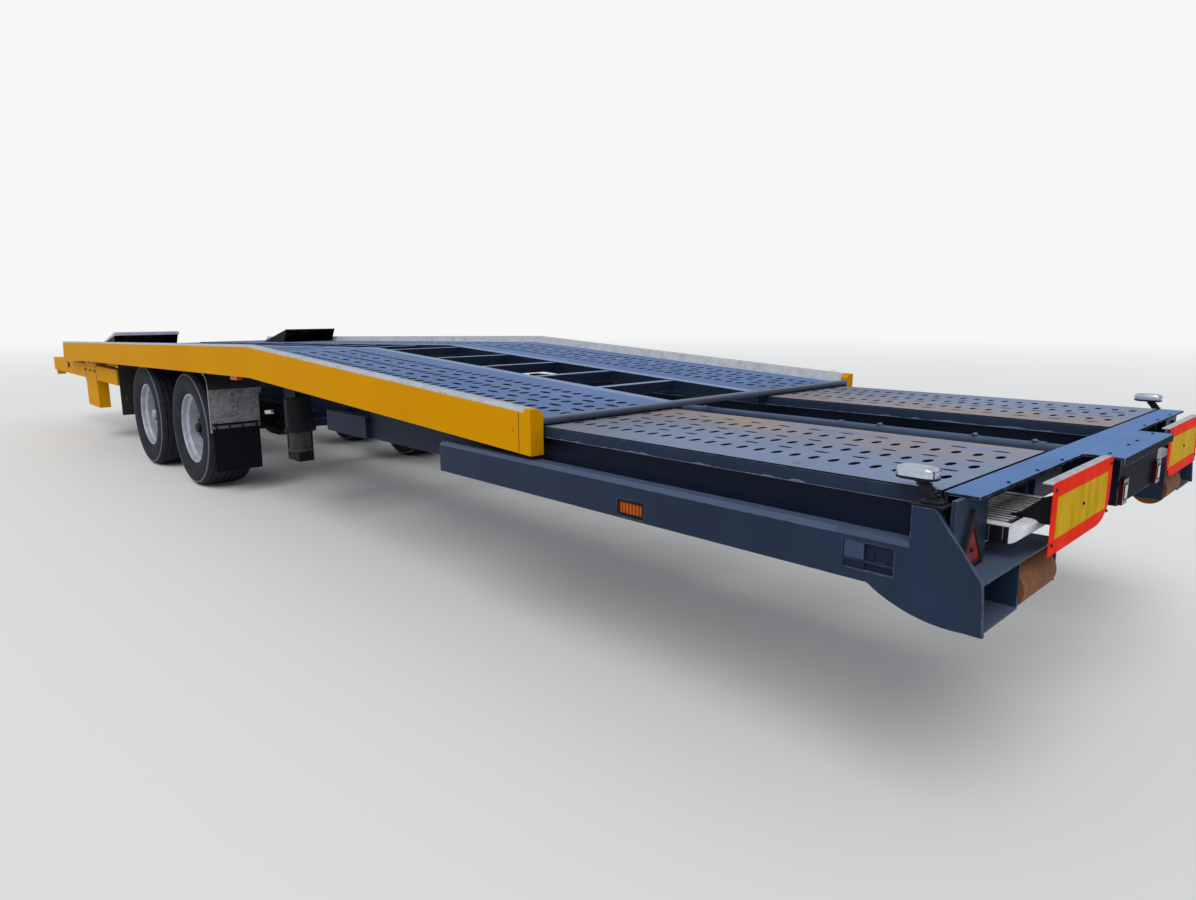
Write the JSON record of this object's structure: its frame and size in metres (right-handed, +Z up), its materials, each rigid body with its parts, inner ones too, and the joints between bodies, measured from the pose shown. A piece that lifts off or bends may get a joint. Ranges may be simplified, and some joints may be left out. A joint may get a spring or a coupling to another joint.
{
  "type": "two-axle car transporter trailer",
  "caption": "Centre-axle car transporter trailer with a drawbar, a lifting upper deck, a pull-out lower tail deck, stowed loading ramps and a tandem axle, parked on its jack.",
  "frame": {"origin": "on the ground, at the middle of the trailer's length and width", "axes": "+X forward towards the towing eye, +Y to the left side, +Z up"},
  "size_m": [13.053, 2.55, 1.2621],
  "materials": {
    "grey_paint": "satin anthracite paint, dusty",
    "deck_grey": "worn anthracite deck paint with dust",
    "yellow_paint": "gloss orange yellow paint",
    "galvanised": "galvanised steel, mottled",
    "aluminium": "bare serrated aluminium",
    "cast_black": "black chassis paint",
    "rim_silver": "silver wheel paint",
    "tyre_rubber": "dusty tyre rubber",
    "black_rubber": "matt black rubber",
    "rust": "rusty steel",
    "reflective": "reflective yellow sheet with red border",
    "lens_red": "red lens",
    "lens_amber": "amber lens",
    "lens_clear": "clear lens"
  },
  "bodies": {
    "chassis": {"main_rails": "grey_paint", "chassis_cross_members": "grey_paint", "rail_brackets": "grey_paint", "front_frame": "yellow_paint", "front_cross_beam": "yellow_paint", "drawbar": "grey_paint", "towing_eye": "cast_black", "jack_tube": "cast_black", "jack_foot": "galvanised", "axle_beams": "cast_black", "brake_chambers": "cast_black", "trailing_arms": "cast_black", "air_springs": "black_rubber", "air_tanks": "cast_black", "mudguards": "galvanised", "mud_flaps": "black_rubber", "column_housings_front": "yellow_paint", "column_housings_rear": "grey_paint", "support_legs": "cast_black", "support_feet": "galvanised"},
    "tail": {"tail_sills": "grey_paint", "tail_side_beams": "grey_paint", "tail_runners": "grey_paint", "tail_members": "grey_paint", "lower_tracks": "deck_grey", "tail_crossbar": "grey_paint", "tail_gussets": "grey_paint", "pocket_boxes": "cast_black", "tail_boxes": "grey_paint", "tail_rollers": "rust", "tail_reflectors": "lens_red", "centre_plate": "grey_paint", "tail_lamps": "lens_red", "corner_lamp_feet": "cast_black", "corner_lamps": "lens_clear", "centre_pipe": "grey_paint", "sill_markers": "lens_amber"},
    "upper_deck": {"deck_fascias": "yellow_paint", "kerb_rails": "galvanised", "rear_slope_tracks": "deck_grey", "front_slope_tracks": "deck_grey", "deck_beams": "grey_paint", "deck_cross_beams": "grey_paint", "deck_rear_tube": "grey_paint", "deck_markers": "lens_amber", "wheel_plates": "cast_black", "column_inner_stages": "galvanised"},
    "column_stage": {"column_middle_stages": "galvanised"},
    "ramp_left": {"loading_ramp_left": "aluminium", "marker_board_left": "reflective"},
    "ramp_right": {"loading_ramp_right": "aluminium", "marker_board_right": "reflective"},
    "wheel_rear_left": {"tyre_rear_left": "tyre_rubber", "rim_rear_left": "rim_silver"},
    "wheel_rear_right": {"tyre_rear_right": "tyre_rubber", "rim_rear_right": "rim_silver"},
    "wheel_front_left": {"tyre_front_left": "tyre_rubber", "rim_front_left": "rim_silver"},
    "wheel_front_right": {"tyre_front_right": "tyre_rubber", "rim_front_right": "rim_silver"}
  },
  "joints": [
    {"name": "deck_lift", "type": "slide", "parent": "chassis", "child": "upper_deck", "axis": [0, 0, 1], "range_m": [0, 0.9]},
    {"name": "column_stage_slide", "type": "slide", "parent": "chassis", "child": "column_stage", "axis": [0, 0, 1], "range_m": [0, 0.45]},
    {"name": "tail_slide", "type": "slide", "parent": "chassis", "child": "tail", "axis": [1, 0, 0], "range_m": [0, 1]},
    {"name": "ramp_left_slide", "type": "slide", "parent": "tail", "child": "ramp_left", "axis": [-1, 0, 0], "range_m": [0, 1.2]},
    {"name": "ramp_right_slide", "type": "slide", "parent": "tail", "child": "ramp_right", "axis": [-1, 0, 0], "range_m": [0, 1.2]},
    {"name": "wheel_rear_left_spin", "type": "hinge", "parent": "chassis", "child": "wheel_rear_left", "pos_m": [0.0035, 0.997, 0.49], "axis": [0, 1, 0], "continuous": true},
    {"name": "wheel_rear_right_spin", "type": "hinge", "parent": "chassis", "child": "wheel_rear_right", "pos_m": [0.0035, -0.997, 0.49], "axis": [0, 1, 0], "continuous": true},
    {"name": "wheel_front_left_spin", "type": "hinge", "parent": "chassis", "child": "wheel_front_left", "pos_m": [1.3135, 0.997, 0.49], "axis": [0, 1, 0], "continuous": true},
    {"name": "wheel_front_right_spin", "type": "hinge", "parent": "chassis", "child": "wheel_front_right", "pos_m": [1.3135, -0.997, 0.49], "axis": [0, 1, 0], "continuous": true}
  ],
  "couplings": [
    {"joint": "column_stage_slide", "follows": "deck_lift", "ratio": 0.5}
  ]
}
